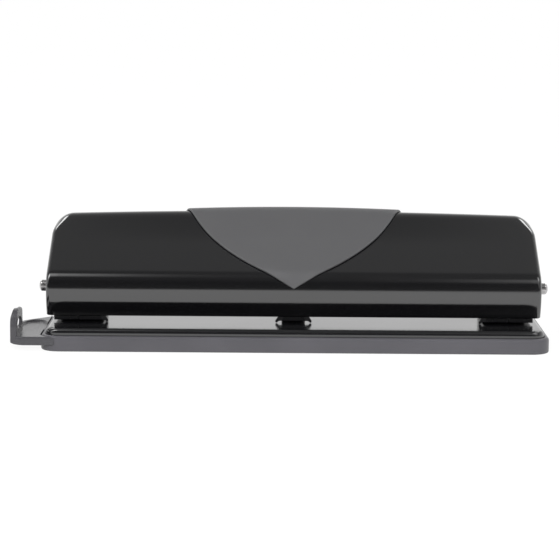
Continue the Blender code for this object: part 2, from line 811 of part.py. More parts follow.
def paper_guide():
    """The side stop: an end plate round the tray's corner, an upright and a sliding tongue."""
    floor = guide_plate_top - guide_plate
    near = -tray_front
    radius = guide_corner_radius
    right = -half_tray + corner_radius
    outline = ([(right, near)] + arc((guide_left + radius, near + radius), radius, 270, 180, 6)
               + [(guide_left, guide_back - guide_shoulder)]
               + [(guide_left + guide_reach * over, guide_back - guide_shoulder * behind)
                  for over, behind in zip(shoulder_reach_shares, shoulder_back_shares)]
               + [(guide_left + guide_reach, guide_back), (right, guide_back)])
    obj = slab("paper_guide", [list(reversed(outline))], floor, guide_plate_top,
               edge_radius=guide_edge_radius, edges="both", edge_steps=1)
    cut(obj, slab("guide_clearance", [tray_outline(running_gap)], floor - overrun,
                  guide_plate_top + overrun))
    centre_y = near + guide_wall_depth / 2 + radius / 4
    low, high = centre_y - guide_wall_depth / 2, centre_y + guide_wall_depth / 2
    crown = guide_crown_radius
    top = guide_plate_top + guide_wall_height
    wall = ([(low, floor + guide_plate / 2), (high, floor + guide_plate / 2)]
            + arc((high - crown, top - crown), crown, 0, 90, 6)
            + arc((low + crown, top - crown), crown, 90, 180, 6))
    angles = np.linspace(0.0, 2 * math.pi, round_steps, endpoint=False)
    middle = guide_plate_top + guide_window_sill + guide_window_height / 2
    window = [(centre_y + guide_window_width / 2 * math.cos(a),
               middle + guide_window_height / 2 * math.sin(a)) for a in angles]
    join(obj, slab("guide_wall", [wall, window], guide_left + running_gap,
                   guide_left + guide_wall, plane="YZ"))
    dish_x = -half_tray - guide_reach / 4
    dish_y = centre_y + guide_wall_depth / 2
    dish = [(dish_x + dish_width / 2 * math.cos(a), dish_y + dish_length / 2 * math.sin(a))
            for a in angles]
    dish = [(max(x, guide_left + guide_wall + running_gap), y) for x, y in dish]
    cut(obj, slab("guide_dish", [dish], guide_plate_top - dish_depth,
                  guide_plate_top + overrun))
    tongue_low = tray_floor + running_gap
    join(obj, box("guide_tongue", (-half_tray - guide_reach / 2, tongue_near, tongue_low),
                  (-half_tray + tongue_length, tongue_near + tongue_width,
                   tongue_low + tongue_thickness)))
    return dress(obj, DARK_PLASTIC)


def build():
    base_plate()
    for name, x in zip(head_names, head_places):
        punch_frame(name, x)
        die(name, x)
        punch_pin(name, x)
        retaining_clip(name, x)
        spring(name, x)
    for name, side in (("left", -1), ("right", 1)):
        pivot_bracket(name, side)
        axle_spacer(name, side)
    for name, place in rivet_places():
        rivet(name, place)
    axle()
    lever_cover()
    grip_panel()
    pressure_bar()
    chad_tray()
    paper_guide()


clear_scene()
PARTS = collection("three_hole_punch")
CUTTERS = collection("cutters")
BLACK_STEEL = finish("black_steel", (0.030, 0.030, 0.033), 0.28, 0.0, 0.6)
FRAME_STEEL = finish("frame_steel", (0.018, 0.018, 0.020), 0.35, 0.0, 0.3)
BRIGHT_STEEL = finish("bright_steel", (0.55, 0.55, 0.56), 0.30, 1.0)
DARK_PLASTIC = finish("dark_plastic", (0.050, 0.049, 0.055), 0.45)
DARK_RUBBER = finish("dark_rubber", (0.070, 0.070, 0.074), 0.55)
NYLON = finish("nylon", (0.75, 0.74, 0.70), 0.50)
build()
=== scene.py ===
"""Dresses a three-hole paper punch: fine pressed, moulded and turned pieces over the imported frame.

Metres, +X along the lever to the right, +Y from the paper side to the back, +Z up from the table.
"""
import math

import bmesh
import bpy
import numpy as np
from mathutils import Matrix, Vector


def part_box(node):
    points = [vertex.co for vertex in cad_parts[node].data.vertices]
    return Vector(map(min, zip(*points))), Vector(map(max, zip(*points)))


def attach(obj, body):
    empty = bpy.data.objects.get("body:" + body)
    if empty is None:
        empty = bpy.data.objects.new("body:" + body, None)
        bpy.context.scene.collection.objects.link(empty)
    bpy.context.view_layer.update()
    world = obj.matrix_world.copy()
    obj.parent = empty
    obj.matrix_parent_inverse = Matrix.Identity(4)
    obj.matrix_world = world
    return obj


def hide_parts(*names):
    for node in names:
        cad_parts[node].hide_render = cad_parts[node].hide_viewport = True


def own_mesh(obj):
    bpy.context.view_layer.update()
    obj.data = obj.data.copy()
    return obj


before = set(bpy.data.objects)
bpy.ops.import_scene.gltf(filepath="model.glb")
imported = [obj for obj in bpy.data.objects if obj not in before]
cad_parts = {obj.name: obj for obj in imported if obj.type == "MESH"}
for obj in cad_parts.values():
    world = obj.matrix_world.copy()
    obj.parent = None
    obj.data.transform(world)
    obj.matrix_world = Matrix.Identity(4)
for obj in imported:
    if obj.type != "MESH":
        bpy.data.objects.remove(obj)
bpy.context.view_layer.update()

# Sizes repeated from the part's source
head_names = ("left", "centre", "right")
head_places = (-0.108, 0.0, 0.108)
running_gap = 0.0003
base_front, base_rear = 0.0520, 0.0440
base_top, base_sheet, base_skirt = 0.0114, 0.0015, 0.0058
base_edge_radius = 0.0024
corner_radius = 0.0100
frame_width = 0.0125
tray_wall, tray_floor, tray_height = 0.0024, 0.0016, 0.0077
tray_edge_radius = 0.0010
guide_reach, guide_plate_top, guide_plate = 0.0148, 0.0080, 0.0048
guide_corner_radius, guide_back, guide_shoulder = 0.0085, 0.0190, 0.0230
guide_wall, guide_wall_height, guide_window_height = 0.0042, 0.0132, 0.0066
tongue_width, tongue_length, tongue_thickness, tongue_inset = 0.0320, 0.1200, 0.0032, 0.0080
tray_rib, tray_rib_height = 0.0014, 0.0024
axle_y, axle_height = -0.0170, 0.0295
half_base, half_cover = 0.1311, 0.1310
cover_sheet, cover_front, cover_rear = 0.0012, 0.0335, 0.0323
lip_height, skirt_bottom = 0.0152, 0.0340
roll_radius, roll_level_height, roll_end_degrees = 0.0240, 0.0285, 176
crease_radius, roof_slope, rear_radius = 0.0115, 0.545, 0.0115
rear_end_radius, end_growth = 0.0105, 0.0180
roof_arch, arch_start = 0.0026, -0.0050
grip_thickness, grip_crown = 0.0010, 0.0007
grip_edge_reach, grip_edge_inset = 0.1079, 0.0576
grip_tip_height, grip_wrap = 0.0307, 0.0030

tray_margin = running_gap + tray_wall
half_tray = half_base + tray_margin
tray_front, tray_rear = base_front + tray_margin, base_rear + tray_margin
guide_left = -(half_tray + guide_reach)
tongue_near = -tray_front + tray_wall + tray_rib + tongue_inset

# Sizes that are the fine pieces' own or differ a little from the part's
left_trim, tray_lift, base_lift, guide_drop = 0.0016, 0.0005, 0.00028, 0.0003
front_end_radius = 0.0024
axle_hole, die_hole, rivet_hole = 0.0033, 0.0064, 0.0018
tray_rim_radius, tray_chamfer, tray_fillet = 0.0017, 0.0004, 0.0004
sheet_ease, sharp_degrees = 0.00025, 32.0
skirt_steps = 8


# Shader maths

class Value:
    """A number that varies over a surface: Python operators on it add Math nodes."""

    def __init__(self, tree, socket):
        self.tree, self.socket = tree, socket

    def _math(self, operation, *operands):
        node = self.tree.node("ShaderNodeMath", {"operation": operation}, *operands)
        return Value(self.tree, node.outputs[0])

    def __add__(self, other):
        return self._math("ADD", self, other)

    def __radd__(self, other):
        return self._math("ADD", other, self)

    def __sub__(self, other):
        return self._math("SUBTRACT", self, other)

    def __rsub__(self, other):
        return self._math("SUBTRACT", other, self)

    def __mul__(self, other):
        return self._math("MULTIPLY", self, other)

    def __neg__(self):
        return self._math("MULTIPLY", self, -1.0)

    def clamped(self):
        return self._math("MAXIMUM", self._math("MINIMUM", self, 1.0), 0.0)

    def share(self, start, end):
        """0 at start, 1 at end, with a smooth turn between."""
        node = self.tree.node("ShaderNodeMapRange", {"interpolation_type": "SMOOTHSTEP"},
                              self, start, end, 0.0, 1.0)
        return Value(self.tree, node.outputs[0])

    def toned(self, stops):
        """The grey of a ramp at this value, from (value, grey) stops."""
        node = self.tree.node("ShaderNodeValToRGB", {"stops": [(at, [grey] * 3)
                                                               for at, grey in stops]}, self)
        return Value(self.tree, node.outputs[0])


class Tree:
    """A node tree, with one method that makes any node in it."""

    def __init__(self, owner):
        owner.use_nodes = True
        self.tree = owner.node_tree

    def put(self, target, value):
        """Give an input a link, a number or a colour."""
        if isinstance(value, Value):
            value = value.socket
        if isinstance(value, bpy.types.NodeSocket):
            self.tree.links.new(value, target)
        elif hasattr(target.default_value, "__len__") and not hasattr(value, "__len__"):
            target.default_value = [value] * len(target.default_value)
        elif hasattr(value, "__len__") and len(value) == 3 and len(target.default_value) == 4:
            target.default_value = (*value, 1.0)
        else:
            target.default_value = value

    def node(self, kind, settings=None, *values, **named):
        """Any node: its settings first, then the values or links of its sockets."""
        made = self.tree.nodes.new(kind)
        for setting, value in (settings or {}).items():
            if setting == "stops":
                ramp = made.color_ramp
                for stop, (position, colour) in zip((ramp.elements[0], ramp.elements[-1]),
                                                    (value[0], value[-1])):
                    stop.position, stop.color = position, (*colour, 1.0)
                for position, colour in value[1:-1]:
                    ramp.elements.new(position).color = (*colour, 1.0)
            else:
                setattr(made, setting, value)
        for socket, value in zip(made.inputs, values):
            self.put(socket, value)
        for socket, value in named.items():
            self.put(made.inputs[socket.replace("_", " ")], value)
        return made


class Finish(Tree):
    """A material for one kind of surface, read in Object coordinates."""

    def __init__(self, name, colour, roughness, **fixed):
        self.material, self.colour = bpy.data.materials.new(name), colour
        super().__init__(self.material)
        self.shader = self.tree.nodes["Principled BSDF"]
        self.set("Base Color", colour)
        self.set("Roughness", roughness)
        for socket, value in fixed.items():
            self.set(socket.replace("_", " "), value)
        self.place = self.node("ShaderNodeTexCoord").outputs["Object"]

    def set(self, socket, value):
        self.put(self.shader.inputs[socket], value)

    def stretched(self, scale):
        """The object's own coordinates, multiplied by a scale on each axis."""
        node = self.node("ShaderNodeVectorMath", {"operation": "MULTIPLY"}, self.place, scale)
        return node.outputs[0]

    def noise(self, scale, detail=2.0, roughness=0.5, place=None):
        node = self.node("ShaderNodeTexNoise", None, Vector=place or self.place, Scale=scale,
                         Detail=detail, Roughness=roughness)
        return Value(self, node.outputs["Fac"])

    def cells(self, scale):
        """Distance to the nearest of many scattered points."""
        node = self.node("ShaderNodeTexVoronoi", None, Vector=self.place, Scale=scale)
        return Value(self, node.outputs["Distance"])

    def tint(self, share, low, high, lift=0.0):
        """Vary the colour from low to high times the plain one, with a lift at the high end."""
        node = self.node("ShaderNodeMix", {"data_type": "RGBA"})
        tones = [c * low for c in self.colour], [c * high + lift for c in self.colour]
        for socket, value in zip((0, 6, 7), (share, *tones)):
            self.put(node.inputs[socket], value)
        self.set("Base Color", node.outputs[2])

    def bump(self, height, distance):
        """Raise the surface by the height times the distance, in metres."""
        node = self.node("ShaderNodeBump", None, Strength=1.0, Distance=distance, Height=height)
        self.set("Normal", node.outputs[0])


def lacquer(name, colour, roughness, index, peel):
    """Gloss stoving enamel: a faint orange peel, hazy handling patches and a few fine specks."""
    made = Finish(name, colour, roughness, IOR=index)
    haze = made.noise(9.0, 3.0, 0.6).share(0.42, 0.72)
    streaks = made.noise(1.0, 3.0, 0.6, made.stretched((14.0, 120.0, 120.0)))
    made.set("Roughness", roughness + haze * 0.035 + streaks * 0.03)
    specks = 1.0 - made.cells(210.0).share(0.02, 0.055)
    few = made.noise(37.0, 1.0).share(0.60, 0.70)
    made.tint((specks * few * 0.35).clamped(), 1.0, 5.0, 0.01)
    made.bump(made.noise(650.0, 2.0, 0.45) + made.noise(2600.0, 1.0) * 0.25, peel)
    return made.material


def moulded(name, colour, roughness, grain, depth):
    """Moulded plastic with a spark-eroded grain, slow colour drift and rubbed high spots."""
    made = Finish(name, colour, roughness, IOR=1.5)
    drift = made.noise(16.0, 3.0, 0.6)
    fine = made.noise(grain, 2.0, 0.6)
    pits = made.cells(grain * 0.8).share(0.15, 0.75)
    made.tint(drift.share(0.3, 0.75), 0.90, 1.10)
    made.set("Roughness", roughness - 0.05 + fine * 0.10 + drift * 0.05)
    made.bump(fine * 0.6 + pits * 0.4, depth)
    return made.material


def soft_touch(name, colour, roughness):
    """A satin soft-touch panel: a very fine grain and faint polished patches from hands."""
    made = Finish(name, colour, roughness, IOR=1.65)
    hands = made.noise(28.0, 3.0, 0.6).share(0.45, 0.8)
    fine = made.noise(4200.0, 1.0, 0.5)
    made.tint(made.noise(60.0, 2.0), 0.95, 1.05)
    made.set("Roughness", roughness + fine * 0.06 - hands * 0.07)
    made.bump(fine + made.cells(3000.0) * 0.5, 0.000012)
    return made.material


def coated(name, colour, roughness):
    """Thin black coating on folded steel, rubbed to a greyer tone in streaks along the fold."""
    made = Finish(name, colour, roughness, IOR=1.5)
    rubbed = made.noise(1.0, 4.0, 0.6, made.stretched((900.0, 160.0, 60.0)))
    worn = rubbed.share(0.58, 0.78)
    made.tint(worn * 0.5, 1.0, 2.2, 0.01)
    made.set("Roughness", roughness - worn * 0.10 + made.noise(300.0, 2.0) * 0.06)
    made.bump(made.noise(1500.0, 2.0), 0.00001)
    return made.material


def turned_steel(name, colour, roughness, along):
    """Bright turned or drawn steel: fine lines, packed close on the axes stretched most."""
    made = Finish(name, colour, roughness, Metallic=1.0)
    lines = made.noise(1.0, 3.0, 0.6, made.stretched(along))
    stain = made.noise(180.0, 3.0, 0.6).share(0.5, 0.8)
    made.tint(stain * 0.4, 1.0, 0.62)
    made.set("Roughness", roughness + lines * 0.12 + stain * 0.10)
    made.bump(lines, 0.000006)
    return made.material


def zinc_plated(name, colour, roughness):
    """Zinc-plated steel: a pale blue-grey crystal pattern with duller grains."""
    made = Finish(name, colour, roughness, Metallic=1.0)
    node = made.node("ShaderNodeTexVoronoi", None, Vector=made.place, Scale=900.0)
    tone = made.node("ShaderNodeRGBToBW", None, node.outputs["Color"])
    grains = Value(made, tone.outputs[0])
    made.tint(grains, 0.80, 1.0)
    made.set("Roughness", roughness + grains * 0.12)
    made.bump(made.noise(1300.0, 2.0), 0.000006)
    return made.material


def natural_nylon(name, colour):
    """Off-white nylon with a slightly waxy, clouded colour."""
    made = Finish(name, colour, 0.42, IOR=1.53)
    cloud = made.noise(130.0, 3.0, 0.6)
    made.tint(cloud, 0.88, 1.0)
    made.set("Roughness", 0.36 + cloud * 0.12)
    made.bump(made.noise(900.0, 2.0), 0.00001)
    return made.material


COVER_ENAMEL = lacquer("cover_enamel", (0.0028, 0.0028, 0.0034), 0.10, 2.0, 0.0000016)
BASE_ENAMEL = lacquer("base_enamel", (0.006, 0.006, 0.007), 0.12, 1.9, 0.0000030)
TRAY_PLASTIC = moulded("tray_plastic", (0.076, 0.074, 0.083), 0.34, 2400.0, 0.000030)
GUIDE_PLASTIC = moulded("guide_plastic", (0.053, 0.052, 0.057), 0.24, 2400.0, 0.000022)
GRIP_SATIN = soft_touch("grip_satin", (0.076, 0.076, 0.079), 0.40)
FRAME_COATING = coated("frame_coating", (0.007, 0.007, 0.008), 0.26)
AXLE_STEEL = turned_steel("axle_steel", (0.50, 0.49, 0.49), 0.22, (60.0, 2500.0, 2500.0))
PIN_STEEL = turned_steel("pin_steel", (0.62, 0.62, 0.63), 0.18, (90.0, 90.0, 5200.0))
SPRING_STEEL = turned_steel("spring_steel", (0.50, 0.50, 0.51), 0.24, (2600.0, 2600.0, 60.0))
BAR_STEEL = turned_steel("bar_steel", (0.46, 0.46, 0.47), 0.30, (40.0, 2200.0, 2200.0))
ZINC = zinc_plated("zinc_plate", (0.62, 0.63, 0.65), 0.24)
NYLON = natural_nylon("natural_nylon", (0.72, 0.70, 0.64))


# Surfaces worked out on grids

def linked(name, data):
    obj = bpy.data.objects.new(name, data)
    bpy.context.scene.collection.objects.link(obj)
    return obj


def as_mesh(name, bm):
    mesh = bpy.data.meshes.new(name)
    bm.to_mesh(mesh)
    bm.free()
    return mesh


def shaded(mesh, smooth_degrees=sharp_degrees):
    """Smooth the shading, except over edges that turn by more than an angle."""
    mesh.shade_smooth()
    mesh.set_sharp_from_angle(angle=math.radians(smooth_degrees))


def skin(name, grids, material, smooth_degrees=sharp_degrees):
    """One piece from grids of places, each an array of rows by columns by x, y, z.

    Every four neighbouring places make one face, and edges of grids that meet are welded.
    """
    weld, sliver = 0.000002, 0.0000005
    places, faces, start = [], [], 0
    for grid in grids:
        rows, columns = grid.shape[:2]
        index = np.arange(rows * columns).reshape(rows, columns) + start
        faces.append(np.stack((index[:-1, :-1], index[:-1, 1:], index[1:, 1:], index[1:, :-1]),
                              axis=-1).reshape(-1, 4))
        places.append(grid.reshape(-1, 3))
        start += rows * columns
    places, faces = np.concatenate(places), np.concatenate(faces)
    mesh = bpy.data.meshes.new(name)
    mesh.vertices.add(len(places))
    mesh.vertices.foreach_set("co", places.astype(np.float32).ravel())
    mesh.loops.add(faces.size)
    mesh.loops.foreach_set("vertex_index", faces.astype(np.int32).ravel())
    mesh.polygons.add(len(faces))
    mesh.polygons.foreach_set("loop_start", np.arange(0, faces.size, 4, dtype=np.int32))
    mesh.update(calc_edges=True)
    bm = bmesh.new()
    bm.from_mesh(mesh)
    bmesh.ops.remove_doubles(bm, verts=bm.verts, dist=weld)
    bmesh.ops.dissolve_degenerate(bm, edges=bm.edges, dist=sliver)
    bmesh.ops.recalc_face_normals(bm, faces=bm.faces)
    bm.to_mesh(mesh)
    bm.free()
    shaded(mesh, smooth_degrees)
    mesh.materials.append(material)
    return linked(name, mesh)


def roll_off(near, edge):
    """How far a quarter round lowers a face, at each distance from the face's edge."""
    return edge - np.sqrt(np.maximum(edge ** 2 - (edge - np.clip(near, 0.0, edge)) ** 2, 0.0))


def across(values, first, second):
    """Straight lines from each place of the first row to the second, at each value from 0 to 1."""
    values = np.asarray(values)[:, None, None]
    return first[None] * (1 - values) + second[None] * values


def closed_between(upper, under):
    """An upper and an under grid, with strips that join them along all four edges."""
    return [upper, under[:, ::-1], np.stack((under[:, 0], upper[:, 0])),
            np.stack((upper[:, -1], under[:, -1])), np.stack((upper[0], under[0])),
            np.stack((under[-1], upper[-1]))]


def arc_angles(start, end, count):
    return np.radians(np.linspace(start, end, count))


def arc_places(centre, radius, start, end, count):
    angles = arc_angles(start, end, count)
    return np.column_stack((centre[0] + radius * np.cos(angles),
                            centre[1] + radius * np.sin(angles)))


def smooth_share(value, start, end):
    """0 at start, 1 at end, with a smooth turn between."""
    share = np.clip((value - start) / (end - start), 0.0, 1.0)
    return share * share * (3 - 2 * share)


def rectangle_ring(left, right, near, far, radius):
    """Places and outward normals round a rectangle with round corners, anticlockwise, closed."""
    per_corner, per_side = 14, 40
    centres = ((right - radius, far - radius), (left + radius, far - radius),
               (left + radius, near + radius), (right - radius, near + radius))
    places, normals = [], []
    for corner, centre in enumerate(centres):
        angles = arc_angles(90 * corner, 90 * corner + 90, per_corner)
        normal = np.column_stack((np.cos(angles), np.sin(angles)))
        places.append(np.array(centre) + radius * normal)
        normals.append(normal)
        following = np.array(centres[(corner + 1) % 4])
        share = np.linspace(0, 1, per_side + 1)[1:-1, None]
        start = places[-1][-1]
        end = following + radius * normal[-1]
        places.append(start * (1 - share) + end * share)
        normals.append(np.repeat(normal[-1:], len(share), axis=0))
    places, normals = np.concatenate(places), np.concatenate(normals)
    return np.vstack((places, places[:1])), np.vstack((normals, normals[:1]))


def carried(ring, profile):
    """A profile of (inset, height) carried round a ring: each row is the ring pulled in and set
    at its height."""
    places, normals = ring
    rows = [np.column_stack((places - normals * inset, np.full(len(places), height)))
            for inset, height in profile]
    return np.array(rows)


def filled(row, spine_half):
    """A flat face between a ring and the middle line that runs along X."""
    middle = row.copy()
    middle[:, 0] = np.clip(middle[:, 0], -spine_half, spine_half)
    middle[:, 1] = (row[:, 1].min() + row[:, 1].max()) / 2
    return across(np.linspace(0, 1, 4), row, middle)


def quarter(inset, height, radius, start, end, count):
    """Part of a round edge as (inset, height) pairs about a centre."""
    return [(inset - radius * math.cos(a), height + radius * math.sin(a))
            for a in arc_angles(start, end, count)]


def carved(obj, mesh):
    """Cut a closed mesh out of an object, and keep the result as its mesh."""
    tool = linked("tool", mesh)
    step = obj.modifiers.new("carve", "BOOLEAN")
    step.operation, step.solver, step.object = "DIFFERENCE", "EXACT", tool
    graph = bpy.context.evaluated_depsgraph_get()
    result = bpy.data.meshes.new_from_object(obj.evaluated_get(graph))
    obj.modifiers.clear()
    obj.data = result
    bpy.data.objects.remove(tool, do_unlink=True)
    shaded(result)


def drilled(obj, holes, low, high):
    """Cut upright round holes, each (x, y, radius), from a low to a high level."""
    bm = bmesh.new()
    for x, y, radius in holes:
        made = bmesh.ops.create_cone(bm, cap_ends=True, segments=48, radius1=radius,
                                     radius2=radius, depth=high - low)
        bmesh.ops.translate(bm, verts=made["verts"], vec=(x, y, (low + high) / 2))
    carved(obj, as_mesh("holes", bm))


def merged(obj, mesh):
    """Add another closed mesh to an object's own."""
    bm = bmesh.new()
    bm.from_mesh(obj.data)
    bm.from_mesh(mesh)
    bm.to_mesh(obj.data)
    bm.free()
    shaded(obj.data)


def block(low, high):
    """A rectangular block between two corners."""
    bm = bmesh.new()
    made = bmesh.ops.create_cube(bm, size=1.0)
    size = [b - a for a, b in zip(low, high)]
    bmesh.ops.scale(bm, verts=made["verts"], vec=size)
    bmesh.ops.translate(bm, verts=made["verts"], vec=[(a + b) / 2 for a, b in zip(low, high)])
    return as_mesh("block", bm)


def eased(obj, angle):
    """Round every edge of a thin sheet a little, where it turns by more than an angle."""
    step = obj.modifiers.new("eased_edges", "BEVEL")
    step.width, step.segments = sheet_ease, 2
    step.limit_method, step.angle_limit = "ANGLE", math.radians(angle)
    step.harden_normals = False


# Lever cover


def cover_profile():
    """Side profile (y, z) with its outward normals.

    A wide arc bulges the front and a tighter arc turns it into the crease. The roof rises in a
    straight line, and a last arc turns down into the rear skirt.
    """
    roof_angle = math.degrees(math.atan(roof_slope))
    level = np.array((-cover_front + roll_radius, roll_level_height))
    low = math.degrees(math.asin((roll_level_height - lip_height) / roll_radius))
    front = arc_places(level, roll_radius, 180 + low, roll_end_degrees, 30)
    turn = math.radians(roll_end_degrees)
    centre = front[-1] - crease_radius * np.array((math.cos(turn), math.sin(turn)))
    crease = arc_places(centre, crease_radius, roll_end_degrees, 90 + roof_angle, 26)[1:]
    rear_y = cover_rear - rear_radius - rear_radius * math.sin(math.atan(roof_slope))
    roof_z = crease[-1, 1] + roof_slope * (rear_y - crease[-1, 0])
    share = np.linspace(0, 1, 24)[1:, None]
    roof = crease[-1] * (1 - share) + np.array((rear_y, roof_z)) * share
    lift = math.radians(90 + roof_angle)
    corner = np.array((rear_y - rear_radius * math.cos(lift),
                       roof_z - rear_radius * math.sin(lift)))
    rear = arc_places(corner, rear_radius, 90 + roof_angle, 0, 22)[1:]
    skirt = np.column_stack((np.full(skirt_steps, rear[-1, 0]),
                             np.linspace(rear[-1, 1], skirt_bottom, skirt_steps + 1)[1:]))
    places = np.vstack((front, crease, roof, rear, skirt))
    along = np.gradient(places, axis=0)
    along /= np.linalg.norm(along, axis=1)[:, None]
    return places, np.column_stack((-along[:, 1], along[:, 0]))


def arch(x, y):
    """How far the roof rises above the plain profile at a place."""
    return (roof_arch * np.maximum(0.0, 1 - (x / half_cover) ** 2)
            * smooth_share(y, arch_start, cover_rear))


def lever_cover():
    """The drawn shell: the side profile carried along X and pulled in round each end.

    Each end wall is a fan of straight lines from the round axle hole to the profile's edge and
    the lower edge.
    """
    round_count, level_count, lower_count = 15, 59, 41
    profile, normals = cover_profile()
    ends = front_end_radius + (rear_end_radius - front_end_radius) * smooth_share(
        profile[:, 0], cover_rear - rear_radius - end_growth, cover_rear - rear_radius)
    chord = (profile[-1, 1] - profile[0, 1]) / (profile[-1, 0] - profile[0, 0])
    turn = arc_angles(90, 0, round_count)
    full, none = np.ones(round_count), np.zeros(level_count)
    side = np.concatenate((-full, none, full))
    angle = np.concatenate((turn, none, turn[::-1]))
    share = np.concatenate((-full, np.linspace(-1, 1, level_count + 2)[1:-1], full))
    inset = ends[None] * (1 - np.cos(angle))[:, None]
    y = profile[:, 0] - normals[:, 0] * inset
    z = profile[:, 1] - normals[:, 1] * inset
    for last in (0, -1):
        z[:, last] = profile[last, 1] + chord * (y[:, last] - profile[last, 0])
    reach = side[:, None] * ends[None] * np.sin(angle)[:, None]
    x = share[:, None] * (half_cover - ends[None]) + reach
    shell = np.stack((x, y, z + arch(x, y)), axis=-1)
    grids = [shell]
    for rim in (shell[0], shell[-1]):
        lower = across(np.linspace(0, 1, lower_count), rim[-1:], rim[:1])[:, 0]
        edge = np.vstack((rim, lower[1:]))
        away = np.arctan2(edge[:, 2] - axle_height, edge[:, 1] - axle_y)
        hole = np.column_stack((edge[:, 0], axle_y + axle_hole * np.cos(away),
                                axle_height + axle_hole * np.sin(away)))
        grids.append(across((0, 0.06, 0.3, 0.6, 0.94, 1), hole, edge))
    obj = skin("drawn_cover", grids, COVER_ENAMEL)
    wall = obj.modifiers.new("sheet", "SOLIDIFY")
    wall.thickness, wall.offset, wall.use_even_offset = cover_sheet, -1.0, True
    eased(obj, 60.0)
    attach(obj, "lever")
    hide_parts("lever_cover")


def grip_half_width(distance):
    """Half the panel's width at a distance from its tip: one arc on each side."""
    radius = math.hypot(grip_edge_reach, grip_edge_inset)
    return np.sqrt(np.maximum(radius ** 2 - (grip_edge_reach - distance) ** 2,
                              grip_edge_inset ** 2)) - grip_edge_inset


def grip_panel():
    """The shield-shaped panel, laid over the cover.

    Rows run along the cover's profile from the tip to over the rear edge. Across, the top is a
    shallow crown that rolls off near every edge by a quarter round.
    """
    edge, tip_zone, rear_zone, hair = 0.0006, 0.006, 0.03, 0.00002
    profile, normals = cover_profile()
    travel = np.concatenate(([0.0], np.cumsum(np.linalg.norm(np.diff(profile, axis=0), axis=1))))
    climb = int(np.argmax(profile[:, 1] > grip_tip_height)) + 2
    tip = np.interp(grip_tip_height, profile[:climb, 1], travel[:climb])
    length = travel[-1 - skirt_steps] + grip_wrap - tip
    along = np.unique(np.concatenate((
        np.linspace(0.0, tip_zone, 24), np.linspace(tip_zone, length - rear_zone, 70),
        np.linspace(length - rear_zone, length - edge, 44),
        length - edge * (1 - np.sin(arc_angles(0, 90, 6))))))
    half = np.maximum(grip_half_width(along), hair)[:, None]
    reach = np.minimum(edge, half * 0.9)
    inner = half - reach
    inside = np.linspace(-1, 1, 37)[1:-1][None]
    left = -(inner + reach * np.sin(arc_angles(90, 0, 7))[None])
    right = inner + reach * np.sin(arc_angles(0, 90, 7))[None]
    x = np.hstack((left, inner * inside, right))
    from_side = half - np.abs(x)
    from_end = (length - along)[:, None]
    rolled = roll_off(np.minimum(from_side, from_end), edge)
    crown = grip_crown * np.maximum(0.0, 1 - (x / np.maximum(half, 0.001)) ** 2)
    bottom = running_gap * 1.4
    top = bottom + grip_thickness + crown * np.minimum(1.0, along / grip_wrap)[:, None] - rolled

    def laid(height):
        """Places at a height above the cover, along its normal."""
        distance = tip + along
        y, z = (np.interp(distance, travel, profile[:, k])[:, None] for k in (0, 1))
        lean = np.stack([np.interp(distance, travel, normals[:, k]) for k in (0, 1)], axis=-1)
        lean /= np.linalg.norm(lean, axis=1)[:, None]
        y = y + lean[:, :1] * height
        return np.stack((x, y, z + lean[:, 1:] * height + arch(x, y)), axis=-1)

    shells = closed_between(laid(top), laid(np.full_like(top, bottom)))
    obj = skin("soft_touch_panel", shells, GRIP_SATIN, 50.0)
    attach(obj, "lever")
    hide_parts("grip_panel")


# Base plate and tray

def base_plate():
    """The pressed pan: a profile of rounded top edge, skirt and inner skirt carried round the
    rectangle, with a round hole for every die and rivet."""
    drill_margin = 0.002
    ring = rectangle_ring(left_trim - half_base, half_base, -base_front, base_rear,
                          corner_radius - tray_margin)
    low, top = base_top - base_skirt, base_top + base_lift
    bend, level = top - base_edge_radius, base_edge_radius + 0.0005
    outer = ([(0.0, low), (0.0, bend)]
             + quarter(base_edge_radius, bend, base_edge_radius, 0, 90, 12) + [(level, top)])
    under = ([(level, top - base_sheet)]
             + quarter(base_edge_radius, bend, base_edge_radius - base_sheet, 90, 0, 8)
             + [(base_sheet, low), (0.0, low)])
    outside, within = carried(ring, outer), carried(ring, under)
    spine = half_base - base_rear
    grids = [outside, filled(outside[-1], spine), filled(within[0], spine)[::-1], within]
    obj = skin("pressed_base", grids, BASE_ENAMEL)
    holes = [(x, 0.0, die_hole) for x in head_places]
    for node in sorted(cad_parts):
        if "_rivet_" in node:
            corner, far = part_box(node)
            middle = (corner + far) / 2
            holes.append((middle.x, middle.y, rivet_hole))
    drilled(obj, holes, low - drill_margin, base_top + drill_margin)
    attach(obj, "base")
    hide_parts("base_plate")


